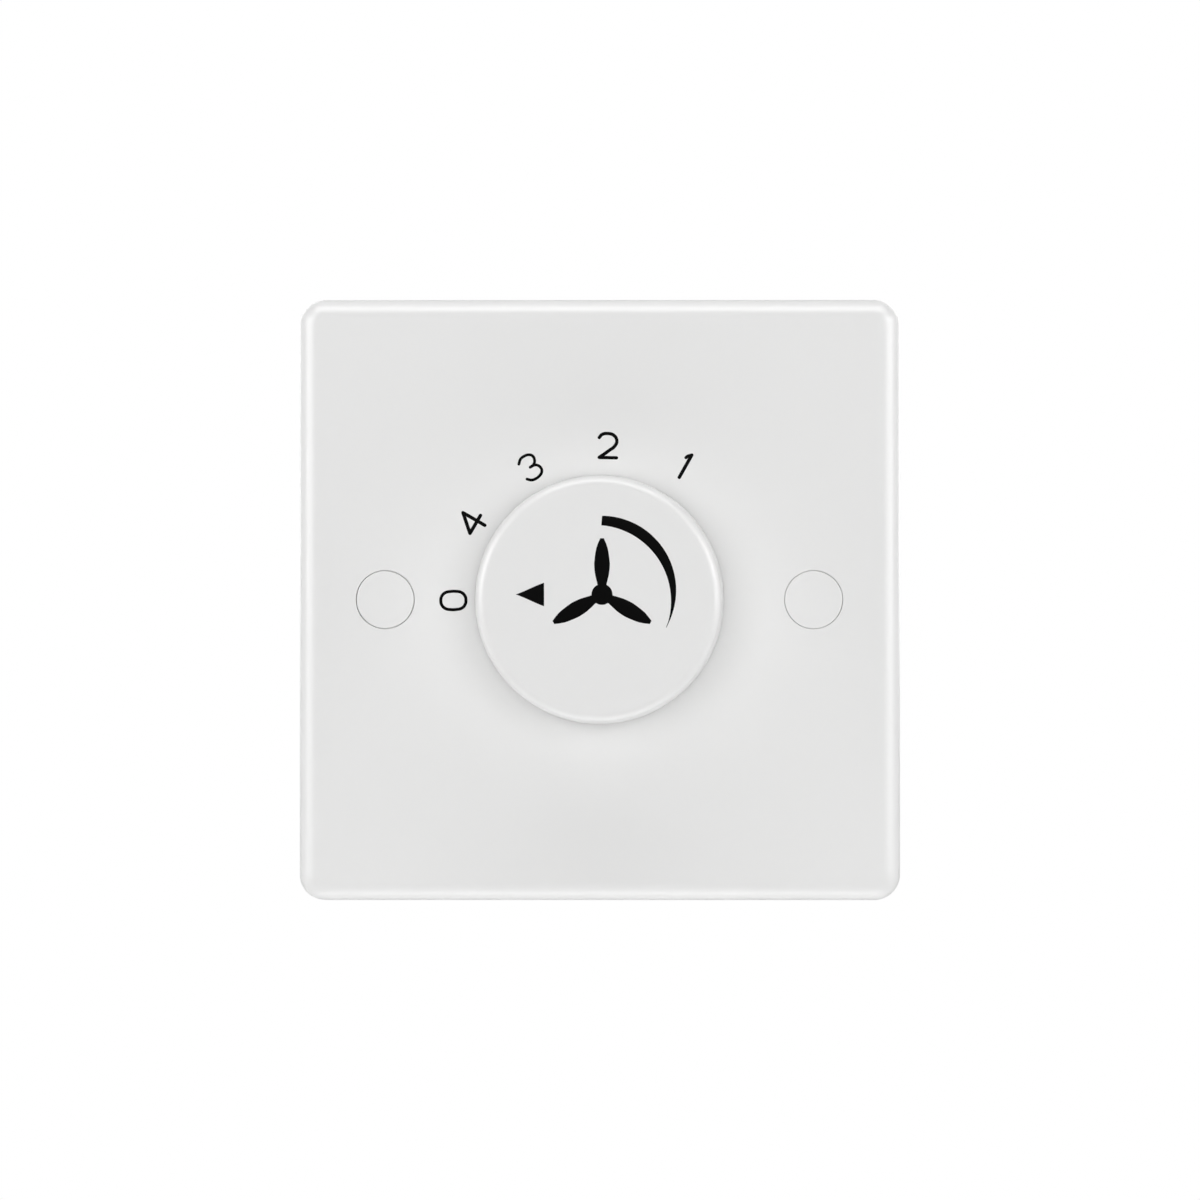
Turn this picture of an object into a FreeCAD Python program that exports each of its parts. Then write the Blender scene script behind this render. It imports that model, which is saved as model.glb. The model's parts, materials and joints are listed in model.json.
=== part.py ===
import FreeCAD, Part
import math
import os
from types import SimpleNamespace

import Sketcher

# Fan speed control switch: a square moulded wall plate with a round knob that turns a
# four-speed rotary switch, two speed capacitors on a circuit board, and a rear housing.
# Each piece is drawn in the panel's frame: X to the right, Y up, Z out of the wall, with
# the wall at Z = 0. ON_THE_WALL then stands it up, so that the front faces -Y and Z is up.

# Driving dimensions, in millimetres and degrees
DIMENSIONS = {
    # Front plate
    "plate_width": 85.0,
    "plate_height": 85.0,
    "plate_depth": 9.0,
    "plate_corner": 3.7,
    "plate_edge": 2.6,
    "plate_draft": 2.0,
    "plate_side_wall": 2.6,
    "plate_face_wall": 3.0,
    "cavity_corner": 2.0,
    "rib_thickness": 1.4,
    "rib_spread": 6.4,
    # Fixing screws and their caps
    "fixing_centres": 60.3,
    "fixing_pillar": 10.8,
    "pillar_setback": 0.4,
    "screw_seat": 3.2,
    "screw_thread": 3.5,
    "screw_shank": 3.1,
    "screw_hole": 4.0,
    "screw_length": 25.0,
    "screw_head": 6.6,
    "screw_head_height": 2.2,
    "screw_head_round": 0.9,
    "screw_slot": 1.0,
    "screw_slot_depth": 1.1,
    "screw_tip": 0.5,
    "thread_start": 0.3,
    "head_recess": 7.4,
    "cap_diameter": 8.0,
    "cap_thickness": 1.6,
    "cap_gap": 0.15,
    "cap_edge": 0.12,
    "cap_skirt": 1.0,
    "cap_skirt_wall": 0.8,
    # Knob
    "knob_diameter": 35.0,
    "knob_height": 14.5,
    "knob_clearance": 0.8,
    "knob_draft": 1.6,
    "knob_edge": 1.3,
    "knob_wall": 2.0,
    "knob_face_wall": 2.4,
    "knob_boss": 11.0,
    "knob_rib": 1.2,
    "knob_rib_depth": 4.5,
    "knob_clip_thickness": 0.4,
    "knob_clip_width": 3.4,
    "knob_clip_lip": 2.4,
    "knob_clip_gap": 0.05,
    # Spindle and its retaining clip
    "spindle_diameter": 6.0,
    "spindle_flat": 1.6,
    "spindle_gap": 0.05,
    "spindle_tip_gap": 0.3,
    "spindle_chamfer": 0.5,
    "tang_width": 4.0,
    "journal_diameter": 3.0,
    "clip_groove": 4.8,
    "clip_diameter": 9.2,
    "clip_thickness": 0.6,
    "clip_mouth": 4.0,
    "clip_gap": 0.1,
    # Switch frame with its threaded bush
    "frame_width": 29.0,
    "frame_corner": 2.5,
    "frame_wall": 1.8,
    "frame_front_wall": 2.0,
    "bush_diameter": 10.0,
    "bush_reach": 5.5,
    "bush_gap": 0.1,
    "key_diameter": 2.4,
    "key_offset": 11.0,
    "key_height": 1.4,
    "key_gap": 0.1,
    "stake_diameter": 1.8,
    "stake_inset": 1.7,
    "stake_gap": 0.05,
    "nut_across_flats": 14.0,
    "nut_thickness": 2.5,
    "nut_chamfer": 0.5,
    "thread_gap": 0.05,
    "washer_diameter": 15.5,
    "washer_thickness": 0.8,
    "washer_notch": 1.4,
    "washer_notch_depth": 1.6,
    # Rotor, wiper and detent
    "index_angle": 30.0,
    "star_diameter": 18.4,
    "star_thickness": 3.0,
    "notch_diameter": 2.8,
    "notch_depth": 1.2,
    "flange_diameter": 20.8,
    "flange_thickness": 2.2,
    "end_play": 0.3,
    "lug_width": 2.8,
    "lug_reach": 12.2,
    "lug_angle": -30.0,
    "stop_radius": 11.5,
    "stop_diameter": 1.8,
    "stop_gap": 0.3,
    "spring_thickness": 0.35,
    "spring_width": 2.4,
    "spring_bump": 2.4,
    "spring_gap": 0.1,
    "spring_rise": 1.4,
    "spring_seat": 1.5,
    "wiper_thickness": 0.3,
    "wiper_hub": 9.2,
    "wiper_arm": 3.0,
    "wiper_overhang": 1.4,
    "wiper_gap": 0.05,
    "dimple_diameter": 1.6,
    "dimple_height": 0.9,
    "peg_diameter": 1.5,
    "peg_offset": 3.2,
    "peg_gap": 0.05,
    # Contacts and their base
    "base_thickness": 2.4,
    "base_standoff": 1.4,
    "foot_diameter": 3.0,
    "contact_radius": 8.0,
    "stud_diameter": 3.0,
    "contact_thickness": 0.4,
    "ring_inner": 5.6,
    "ring_outer": 10.0,
    "ring_pin_angle": 30.0,
    "pin_diameter": 1.2,
    "pin_gap": 0.1,
    "pin_tail": 0.8,
    # Circuit board and its components
    "board_top": 22.6,
    "board_thickness": 1.6,
    "board_gap": 0.4,
    "board_margin": 0.8,
    "part_gap": 0.4,
    "lead_gap": 0.15,
    "capacitor_lead": 0.8,
    "capacitor_pitch": 22.5,
    "capacitor_edge": 0.8,
    "large_capacitor_length": 26.5,
    "large_capacitor_thickness": 12.5,
    "large_capacitor_height": 18.5,
    "small_capacitor_length": 26.5,
    "small_capacitor_thickness": 9.0,
    "small_capacitor_height": 17.0,
    "bleed_diameter": 2.4,
    "bleed_length": 6.4,
    "bleed_span": 10.0,
    "surge_diameter": 3.4,
    "surge_length": 9.0,
    "surge_span": 13.0,
    "resistor_lead": 0.6,
    "resistor_edge": 0.5,
    # Terminals
    "terminal_pitch": 7.8,
    "terminal_width": 6.4,
    "terminal_length": 8.6,
    "terminal_height": 10.2,
    "terminal_bore": 4.2,
    "terminal_bore_height": 3.6,
    "terminal_gap": 0.1,
    "terminal_screw": 3.5,
    "terminal_screw_head": 5.0,
    "terminal_screw_head_height": 1.8,
    "terminal_screw_lift": 0.3,
    "block_wall": 1.2,
    "block_roof": 2.6,
    "block_gap": 0.3,
    # Rear housing
    "housing_wall": 1.6,
    "housing_corner": 3.0,
    "housing_edge": 1.2,
    "floor_gap": 0.5,
    "post_width": 3.4,
    "wire_hole": 6.2,
    "driver_hole": 6.0,
    "vent_width": 1.6,
    "vent_length": 18.0,
    "vent_pitch": 4.0,
    "vent_offset": 5.0,
    "ear_diameter": 7.6,
    "ear_thickness": 2.0,
    "ear_spacing": 28.0,
    "ear_pillar_height": 2.0,
    "tapping_screw": 2.9,
    "tapping_length": 5.6,
    "tapping_head": 5.4,
    "tapping_head_height": 1.5,
    "tapping_slot": 0.8,
    "tapping_slot_depth": 0.7,
    "tapping_hole": 3.3,
    "tapping_gap": 0.05,
}

DIAL = ("0", "4", "3", "2", "1")
COUNTS = {"knob ribs": 6, "washer notches": 10, "vents": 4}
FULL_TURN = math.degrees(math.tau)
TINY = 1e-4
# The sketcher's numbers for the points of a line or an arc, and for its origin
START, END, CENTRE = range(1, 4)
ORIGIN = (-1, START)
ON_THE_WALL = FreeCAD.Rotation(FreeCAD.Vector(1, 0, 0), 90)


class Size:
    """A length or an angle: its number, and the sheet formula that drives it."""

    def __init__(self, number, formula):
        self.number = number
        self.formula = formula

    def __add__(self, other):
        other = as_size(other)
        return Size(self.number + other.number, f"({self.formula} + {other.formula})")

    def __sub__(self, other):
        other = as_size(other)
        return Size(self.number - other.number, f"({self.formula} - {other.formula})")

    def __mul__(self, other):
        other = as_size(other)
        return Size(self.number * other.number, f"({self.formula} * {other.formula})")

    def __truediv__(self, other):
        other = as_size(other)
        return Size(self.number / other.number, f"({self.formula} / {other.formula})")

    def __neg__(self):
        return Size(-self.number, f"(0 - {self.formula})")

    def __radd__(self, other):
        return as_size(other) + self

    def __rsub__(self, other):
        return as_size(other) - self

    def __rmul__(self, other):
        return as_size(other) * self


def as_size(value):
    """A Size as it is, or a plain number as a Size of its own."""
    if isinstance(value, Size):
        return value
    return Size(float(value), f"({float(value)})")


def cosine(angle):
    angle = as_size(angle)
    return Size(math.cos(math.radians(angle.number)), f"cos({angle.formula})")


def sine(angle):
    angle = as_size(angle)
    return Size(math.sin(math.radians(angle.number)), f"sin({angle.formula})")


def tangent(angle):
    angle = as_size(angle)
    return Size(math.tan(math.radians(angle.number)), f"tan({angle.formula})")


def arc_angle(length, radius):
    """The angle in degrees that a short length takes up at that radius."""
    return length / radius * (180 / math.pi)


def polar(radius, angle):
    """The point (x, y) at that radius and angle."""
    return radius * cosine(angle), radius * sine(angle)


doc = FreeCAD.newDocument("fan_speed_switch")
sheet = doc.addObject("Spreadsheet::Sheet", "dims")
for row, (name, number) in enumerate(DIMENSIONS.items(), 1):
    sheet.set(f"A{row}", name)
    sheet.set(f"B{row}", str(number))
    sheet.setAlias(f"B{row}", name)
doc.recompute()

d = SimpleNamespace(**{name: Size(number, f"dims.{name}") for name, number in DIMENSIONS.items()})
ZERO = as_size(0)

# Levels from the front face of the plate down to the back of the circuit board
face = d.plate_depth
lid = face - d.plate_face_wall
ear_seat = lid - d.ear_pillar_height
frame_floor = lid - d.frame_front_wall
rotor_front = frame_floor - d.end_play
flange_front = rotor_front - d.star_thickness
rotor_rear = flange_front - d.flange_thickness
wiper_rear = rotor_rear - d.wiper_thickness
contact_front = wiper_rear - d.dimple_height - d.wiper_gap
base_front = contact_front - d.contact_thickness
base_rear = base_front - d.base_thickness
board_front = base_rear - d.base_standoff
board_rear = board_front - d.board_thickness
tail_front = board_front + d.pin_tail
tail_rear = board_rear - d.pin_tail

# Levels from the front face of the plate up to the top of the knob
washer_front = face + d.washer_thickness
nut_front = washer_front + d.nut_thickness
bush_end = face + d.bush_reach
clip_rear = bush_end + d.clip_gap
clip_front = clip_rear + d.clip_thickness
knob_base = face + d.knob_clearance
knob_top = knob_base + d.knob_height
knob_ceiling = knob_top - d.knob_face_wall
spindle_tip = knob_ceiling - d.spindle_tip_gap
flat_start = clip_front + d.clip_gap
boss_end = flat_start + d.knob_clip_thickness + d.clip_gap * 3

# Plan of the terminal block, the components and the board, seen from the front
fixing_x = d.fixing_centres / 2
block_half = (d.terminal_pitch + d.terminal_width) / 2 + d.terminal_gap + d.block_wall
recess_half = block_half + d.block_gap
board_half = recess_half + d.housing_wall + d.part_gap + d.small_capacitor_thickness + d.board_margin
large_y = d.board_top - d.board_margin - d.large_capacitor_thickness / 2
small_x = -(board_half - d.board_margin - d.small_capacitor_thickness / 2)
small_top = large_y - d.large_capacitor_thickness / 2 - d.part_gap
small_y = small_top - d.small_capacitor_length / 2
small_bottom = small_top - d.small_capacitor_length
board_bottom = small_bottom - d.part_gap - d.post_width
block_top = board_bottom + d.terminal_length + 2 * (d.block_wall + d.terminal_gap)
outer_column = board_half - d.board_margin - d.surge_diameter / 2
inner_column = outer_column - d.surge_diameter - d.part_gap
bleed_y = small_top - d.bleed_span / 2 - d.resistor_lead
surge_y = bleed_y - d.bleed_span / 2 - d.surge_span / 2 - d.part_gap - d.resistor_lead
terminal_y = board_bottom + d.block_wall + d.terminal_gap + d.terminal_length / 2
terminal_xs = (-d.terminal_pitch / 2, d.terminal_pitch / 2)

# Levels of the terminals, behind the board
terminal_rear = board_rear - d.terminal_height
terminal_axis = board_rear - d.terminal_bore_height
block_rear = terminal_rear - d.terminal_gap - d.block_roof
recess_floor = block_rear - d.block_gap
recess_rear = recess_floor - d.housing_wall

# Rear housing, which closes round the board
inner_half = board_half + d.board_gap
inner_top = d.board_top + d.board_gap
inner_bottom = board_bottom - d.board_gap
outer_half = inner_half + d.housing_wall
outer_top = inner_top + d.housing_wall
outer_bottom = inner_bottom - d.housing_wall
housing_floor = board_rear - d.large_capacitor_height - d.floor_gap
housing_rear = housing_floor - d.housing_wall
recess_top = block_top + d.block_gap
ear_x = d.ear_spacing / 2
ear_offset = d.ear_diameter / 2 + d.part_gap
ear_ys = (outer_bottom - ear_offset, outer_top + ear_offset)
ear_places = [(x, y) for x in (-ear_x, ear_x) for y in ear_ys]

# Radii and angles of the rotary switch
cavity_half = d.frame_width / 2 - d.frame_wall
notch_radius = d.star_diameter / 2 - d.notch_depth + d.notch_diameter / 2
bump_centre = d.star_diameter / 2 - d.notch_depth + d.spring_gap + d.spring_bump / 2
spring_low = d.star_diameter / 2 + d.spring_rise
spring_high = spring_low + d.spring_thickness
spring_half = cavity_half - d.spring_seat / 3
spring_front = rotor_front - (d.star_thickness - d.spring_width) / 2
stop_angle = arc_angle((d.lug_width + d.stop_diameter) / 2 + d.stop_gap, d.stop_radius)
travel = (len(DIAL) - 1) * d.index_angle
stop_places = [
    polar(d.stop_radius, d.lug_angle + stop_angle),
    polar(d.stop_radius, d.lug_angle - travel - stop_angle),
]
stake_centre = d.frame_width / 2 - d.stake_inset
corners = [(x, y) for x in (-stake_centre, stake_centre) for y in (-stake_centre, stake_centre)]
ring_radius = (d.ring_inner + d.ring_outer) / 4
POINTER_ANGLE = 180
speed_places = [
    polar(d.contact_radius, POINTER_ANGLE - step * d.index_angle) for step in range(1, len(DIAL))
]
ring_pin_places = [polar(ring_radius, angle) for angle in (d.ring_pin_angle - 90, -90 - d.ring_pin_angle)]


# Outlines that are drawn into a sketch and held by sizes from the sheet


def vector(x, y):
    return FreeCAD.Vector(x.number, y.number, 0)


def bind(sketch, kind, *where, size):
    """Adds a dimension to the sketch and drives it from the sheet."""
    index = sketch.addConstraint(Sketcher.Constraint(kind, *where, size.number))
    sketch.setExpression(f"Constraints[{index}]", size.formula)


def pin(sketch, geometry, point, x, y):
    """Holds one point of a geometry at (x, y)."""
    bind(sketch, "DistanceX", *ORIGIN, geometry, point, size=x)
    bind(sketch, "DistanceY", *ORIGIN, geometry, point, size=y)


def circle(x, y, diameter):
    """A circle of that diameter about (x, y)."""

    def draw(sketch):
        disc = Part.Circle(vector(x, y), FreeCAD.Vector(0, 0, 1), diameter.number / 2)
        geometry = sketch.addGeometry(disc, False)
        pin(sketch, geometry, CENTRE, x, y)
        bind(sketch, "Diameter", geometry, size=diameter)

    return draw


def polygon(*points, closed=True):
    """Straight sides from point to point, each point an (x, y) pair of sizes."""

    def draw(sketch):
        places = [vector(x, y) for x, y in points]
        ends = places[1:] + (places[:1] if closed else [])
        sides = [sketch.addGeometry(Part.LineSegment(a, b), False) for a, b in zip(places, ends)]
        following = sides[1:] + (sides[:1] if closed else [])
        for side, after in zip(sides, following):
            sketch.addConstraint(Sketcher.Constraint("Coincident", side, END, after, START))
        for side, (x, y) in zip(sides, points):
            pin(sketch, side, START, x, y)
        if not closed:
            pin(sketch, sides[-1], END, *points[-1])

    return draw


def rectangle(left, right, bottom, top):
    return polygon((left, bottom), (right, bottom), (right, top), (left, top))


def square(x, y, width):
    """A square of that width about (x, y)."""
    return rectangle(x - width / 2, x + width / 2, y - width / 2, y + width / 2)


def rounded_rectangle(left, right, bottom, top, radius):
    """A rectangle whose four corners are arcs of that radius."""

    def draw(sketch):
        low_x, high_x, low_y, high_y, r = (s.number for s in (left, right, bottom, top, radius))
        starts = [(low_x + r, low_y), (high_x, low_y + r), (high_x - r, high_y), (low_x, high_y - r)]
        ends = [(high_x - r, low_y), (high_x, high_y - r), (low_x + r, high_y), (low_x, low_y + r)]
        centres = [(high_x - r, low_y + r), (high_x - r, high_y - r), (low_x + r, high_y - r)]
        centres.append((low_x + r, low_y + r))
        chain = []
        for quarter, (start, end, centre) in enumerate(zip(starts, ends, centres)):
            side = Part.LineSegment(FreeCAD.Vector(*start, 0), FreeCAD.Vector(*end, 0))
            disc = Part.Circle(FreeCAD.Vector(*centre, 0), FreeCAD.Vector(0, 0, 1), r)
            arc = Part.ArcOfCircle(disc, (quarter - 1) * math.pi / 2, quarter * math.pi / 2)
            chain += [sketch.addGeometry(side, False), sketch.addGeometry(arc, False)]
        for one, after in zip(chain, chain[1:] + chain[:1]):
            sketch.addConstraint(Sketcher.Constraint("Tangent", one, END, after, START))
        for side, way in zip(chain[::2], ("Horizontal", "Vertical") * 2):
            sketch.addConstraint(Sketcher.Constraint(way, side))
        for arc in chain[3::2]:
            sketch.addConstraint(Sketcher.Constraint("Equal", chain[1], arc))
        bind(sketch, "Radius", chain[1], size=radius)
        bind(sketch, "DistanceY", *ORIGIN, chain[0], START, size=bottom)
        bind(sketch, "DistanceX", *ORIGIN, chain[2], START, size=right)
        bind(sketch, "DistanceY", *ORIGIN, chain[4], START, size=top)
        bind(sketch, "DistanceX", *ORIGIN, chain[6], START, size=left)

    return draw


def d_shape(diameter, flat):
    """A circle about the origin, cut off straight at x = -flat."""

    def draw(sketch):
        reach = math.acos(-flat.number / (diameter.number / 2))
        disc = Part.Circle(FreeCAD.Vector(), FreeCAD.Vector(0, 0, 1), diameter.number / 2)
        round_side = Part.ArcOfCircle(disc, -reach, reach)
        arc = sketch.addGeometry(round_side, False)
        chord = sketch.addGeometry(Part.LineSegment(round_side.EndPoint, round_side.StartPoint), False)
        sketch.addConstraint(Sketcher.Constraint("Coincident", arc, END, chord, START))
        sketch.addConstraint(Sketcher.Constraint("Coincident", chord, END, arc, START))
        sketch.addConstraint(Sketcher.Constraint("Coincident", arc, CENTRE, *ORIGIN))
        sketch.addConstraint(Sketcher.Constraint("Vertical", chord))
        bind(sketch, "Diameter", arc, size=diameter)
        bind(sketch, "DistanceX", *ORIGIN, chord, START, size=-flat)

    return draw


# Features of a body


def new_body(label, x=ZERO):
    """An empty body that stands on the wall, moved sideways by x."""
    body = doc.addObject("PartDesign::Body", label)
    body.Label = label
    body.Placement = FreeCAD.Placement(FreeCAD.Vector(), ON_THE_WALL)
    body.setExpression("Placement.Base.x", x.formula)
    return body


def datum(body, role):
    """One of the body's own planes or axes, by its role."""
    return next(item for item in body.Origin.OriginFeatures if item.Role == role)


def sketch_on(body, plane, offset, *outlines):
    """A sketch on one of the body's own planes, moved along that plane's normal."""
    sketch = body.newObject("Sketcher::SketchObject", "outline")
    sketch.AttachmentSupport = [(datum(body, plane), "")]
    sketch.MapMode = "FlatFace"
    sketch.setExpression("AttachmentOffset.Base.z", offset.formula)
    for draw in outlines:
        draw(sketch)
    doc.recompute()
    return sketch


def feature(body, kind, name, **settings):
    """A feature at the end of the body: a Size drives its property, and the rest is set plainly."""
    made = body.newObject(f"PartDesign::{kind}", name)
    for prop, value in settings.items():
        if isinstance(value, Size):
            made.setExpression(prop, value.formula)
        else:
            setattr(made, prop, value)
    body.Tip = made
    doc.recompute()
    return made


def add(body, low, high, *outlines, **settings):
    """Material from level low up to level high."""
    sketch = sketch_on(body, "XY_Plane", low, *outlines)
    return feature(body, "Pad", "pad", Profile=sketch, Length=high - low, **settings)


def carve(body, sketch, length):
    """A pocket from the sketch inwards, which has to remove something."""
    before = body.Shape.Volume
    made = feature(body, "Pocket", "pocket", Profile=sketch, Length=length)
    if body.Shape.Volume > before - TINY:
        raise RuntimeError(f"a pocket in {body.Label} cuts nothing")
    return made


def cut(body, low, high, *outlines):
    """A cut from level high down to level low."""
    return carve(body, sketch_on(body, "XY_Plane", high, *outlines), high - low)


def cut_upwards(body, low, high, *outlines):
    """A cut along Y from height low to height high, outlined in (x, z)."""
    return carve(body, sketch_on(body, "XZ_Plane", -low, *outlines), high - low)


def add_upwards(body, low, high, *outlines):
    """Material along Y from height low to height high, outlined in (x, z)."""
    sketch = sketch_on(body, "XZ_Plane", -high, *outlines)
    return feature(body, "Pad", "pad", Profile=sketch, Length=high - low)


def turn(body, *profile):
    """A solid of revolution about the panel's axis, from points (radius, level)."""
    sketch = sketch_on(body, "XZ_Plane", ZERO, polygon(*profile))
    axis = (sketch, ["V_Axis"])
    return feature(body, "Revolution", "turned", Profile=sketch, ReferenceAxis=axis, Angle=FULL_TURN)


def around(body, original, copies):
    """Repeats a feature evenly round the panel's axis."""
    settings = {"Axis": (datum(body, "Z_Axis"), [""]), "Angle": FULL_TURN, "Occurrences": copies}
    return feature(body, "PolarPattern", "pattern", Originals=[original], **settings)


def along(body, original, copies, axis, length):
    """Repeats a feature along an axis of the panel, over that length in all."""
    settings = {"Direction": (datum(body, axis), [""]), "Length": length, "Occurrences": copies}
    return feature(body, "LinearPattern", "pattern", Originals=[original], **settings)


def edges(body, test):
    """The names of the body's edges that pass a test."""
    return [f"Edge{n}" for n, edge in enumerate(body.Tip.Shape.Edges, 1) if test(edge)]


def at_level(level):
    """A test for edges that lie flat at that level."""

    def test(edge):
        box = edge.BoundBox
        return abs(box.ZMin - level.number) < TINY and abs(box.ZMax - level.number) < TINY

    return test


def outermost_at(level, radius):
    """A test for circles of that radius at that level."""
    flat = at_level(level)
    return lambda edge: flat(edge) and abs(edge.BoundBox.XLength / 2 - radius.number) < TINY


def round_off(body, radius, test):
    """Fillets the edges that pass a test."""
    base = (body.Tip, edges(body, test))
    return feature(body, "Fillet", "fillet", Base=base, Radius=radius)


def bevel(body, width, test):
    """Chamfers the edges that pass a test."""
    base = (body.Tip, edges(body, test))
    return feature(body, "Chamfer", "chamfer", Base=base, Size=width)


# Front: plate, screws, caps


def front_plate():
    """The moulded plate: drafted sides, rounded front edge, hollow back with pillars and ribs."""
    body = new_body("front_plate")
    half_x, half_y = d.plate_width / 2, d.plate_height / 2
    outline = rounded_rectangle(-half_x, half_x, -half_y, half_y, d.plate_corner)
    add(body, ZERO, face, outline, TaperAngle=-d.plate_draft)
    round_off(body, d.plate_edge, at_level(face))
    wall_x, wall_y = half_x - d.plate_side_wall, half_y - d.plate_side_wall
    cut(body, ZERO, lid, rounded_rectangle(-wall_x, wall_x, -wall_y, wall_y, d.cavity_corner))
    pillars = [circle(side, ZERO, d.fixing_pillar) for side in (-fixing_x, fixing_x)]
    add(body, d.pillar_setback, lid, *pillars)
    add(body, ear_seat, lid, *[circle(x, y, d.ear_diameter) for x, y in ear_places])
    plate_ribs(body, wall_x, wall_y)
    screw_holes(body)
    cut(body, ZERO, face, circle(ZERO, ZERO, d.bush_diameter + 2 * d.bush_gap))
    key_top = lid + d.key_height + d.key_gap
    cut(body, lid, key_top, circle(ZERO, -d.key_offset, d.key_diameter + 2 * d.key_gap))
    tapping_end = ear_seat - d.ear_thickness + d.tapping_length + d.tapping_gap
    pilot = d.tapping_screw + 2 * d.tapping_gap
    cut(body, ear_seat, tapping_end, *[circle(x, y, pilot) for x, y in ear_places])


def plate_ribs(body, wall_x, wall_y):
    """Stiffening ribs from the fixing pillars and the ear pillars out to the plate's sides."""
    half = d.rib_thickness / 2
    into_wall = d.plate_side_wall / 4
    side_ribs = [
        rectangle(*ends, y - half, y + half)
        for y in (-d.rib_spread / 2, d.rib_spread / 2)
        for ends in ((-wall_x - into_wall, -fixing_x), (fixing_x, wall_x + into_wall))
    ]
    add(body, d.pillar_setback, lid, *side_ribs)
    ear_low, ear_high = ear_ys
    upright_ribs = [
        rectangle(x - half, x + half, *ends)
        for x in (-ear_x, ear_x)
        for ends in ((-wall_y - into_wall, ear_low), (ear_high, wall_y + into_wall))
    ]
    add(body, ear_seat + d.part_gap, lid, *upright_ribs)


def screw_holes(body):
    """A stepped hole on each fixing centre: cap seat, head recess and shank hole."""
    cap_seat = face - d.cap_thickness
    places = (-fixing_x, fixing_x)
    cut(body, cap_seat, face, *[circle(x, ZERO, d.cap_diameter + 2 * d.cap_gap) for x in places])
    cut(body, d.screw_seat, cap_seat, *[circle(x, ZERO, d.head_recess) for x in places])
    cut(body, ZERO, d.screw_seat, *[circle(x, ZERO, d.screw_hole) for x in places])


def screw_cap(label, x):
    """A round cap, flush with the plate, with a skirt that drops into the head recess."""
    body = new_body(label, x)
    radius = d.cap_diameter / 2
    seat = face - d.cap_thickness
    skirt_end = seat - d.cap_skirt
    skirt_radius = d.head_recess / 2 - d.cap_gap
    skirt_bore = skirt_radius - d.cap_skirt_wall
    turn(
        body,
        (ZERO, face),
        (ZERO, seat),
        (skirt_bore, seat),
        (skirt_bore, skirt_end),
        (skirt_radius, skirt_end),
        (skirt_radius, seat),
        (radius, seat),
        (radius, face),
    )
    round_off(body, d.cap_edge, outermost_at(face, radius))


def fixing_screws():
    """The two machine screws: slotted pan heads, plain shanks and threaded ends."""
    body = new_body("fixing_screws")
    head_top = d.screw_seat + d.screw_head_height
    tip = d.screw_seat - d.screw_length
    places = (-fixing_x, fixing_x)
    add(body, d.screw_seat, head_top, *[circle(x, ZERO, d.screw_head) for x in places])
    round_off(body, d.screw_head_round, at_level(head_top))
    add(body, -d.thread_start, d.screw_seat, *[circle(x, ZERO, d.screw_shank) for x in places])
    add(body, tip, -d.thread_start, *[circle(x, ZERO, d.screw_thread) for x in places])
    bevel(body, d.screw_tip, at_level(tip))
    half = d.screw_slot / 2
    slots = [rectangle(x - d.screw_head, x + d.screw_head, -half, half) for x in places]
    cut(body, head_top - d.screw_slot_depth, head_top, *slots)


# Knob and the parts that turn with it


def knob():
    """A hollow drafted cap with a rounded front edge, a D-bored boss and radial ribs."""
    body = new_body("knob")
    radius = d.knob_diameter / 2
    lean = tangent(d.knob_draft)
    top_radius = radius - d.knob_height * lean
    hollow_radius = radius - d.knob_wall
    ceiling_radius = hollow_radius - (d.knob_height - d.knob_face_wall) * lean
    boss_radius = d.knob_boss / 2
    turn(
        body,
        (ZERO, knob_top),
        (ZERO, boss_end),
        (boss_radius, boss_end),
        (boss_radius, knob_ceiling),
        (ceiling_radius, knob_ceiling),
        (hollow_radius, knob_base),
        (radius, knob_base),
        (top_radius, knob_top),
    )
    round_off(body, d.knob_edge, outermost_at(knob_top, top_radius))
    half = d.knob_rib / 2
    rib = rectangle(boss_radius - half, ceiling_radius + half, -half, half)
    around(body, add(body, knob_ceiling - d.knob_rib_depth, knob_ceiling, rib), COUNTS["knob ribs"])
    bore = d.spindle_diameter + 2 * d.spindle_gap
    bore_flat = d.spindle_flat + d.knob_clip_thickness + 2 * d.knob_clip_gap
    cut(body, boss_end, knob_ceiling, d_shape(bore, bore_flat))


def knob_clip():
    """A spring-steel strip on the spindle's flat, with a lip under the end of the boss."""
    body = new_body("knob_clip")
    inner = -(d.spindle_flat + d.knob_clip_gap)
    outer = inner - d.knob_clip_thickness
    lip_front = boss_end - d.clip_gap
    lip_rear = lip_front - d.knob_clip_thickness
    strip = polygon(
        (inner, lip_rear),
        (inner, spindle_tip - d.clip_gap),
        (outer, spindle_tip - d.clip_gap),
        (outer, lip_front),
        (outer - d.knob_clip_lip, lip_front),
        (outer - d.knob_clip_lip, lip_rear),
    )
    add_upwards(body, -d.knob_clip_width / 2, d.knob_clip_width / 2, strip)


def spindle():
    """The control spindle: clip groove and knob flat in front, square tang and journal behind."""
    body = new_body("spindle")
    radius = d.spindle_diameter / 2
    groove = d.clip_groove / 2
    groove_rear = clip_rear - d.clip_gap
    groove_front = clip_front + d.clip_gap
    turn(
        body,
        (ZERO, rotor_front),
        (radius, rotor_front),
        (radius, groove_rear),
        (groove, groove_rear),
        (groove, groove_front),
        (radius, groove_front),
        (radius, spindle_tip - d.spindle_chamfer),
        (radius - d.spindle_chamfer, spindle_tip),
        (ZERO, spindle_tip),
    )
    cut(body, flat_start, spindle_tip, rectangle(-d.spindle_diameter, -d.spindle_flat, -radius, radius))
    add(body, rotor_rear, rotor_front, square(ZERO, ZERO, d.tang_width))
    add(body, base_rear, rotor_rear, circle(ZERO, ZERO, d.journal_diameter))


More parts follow.
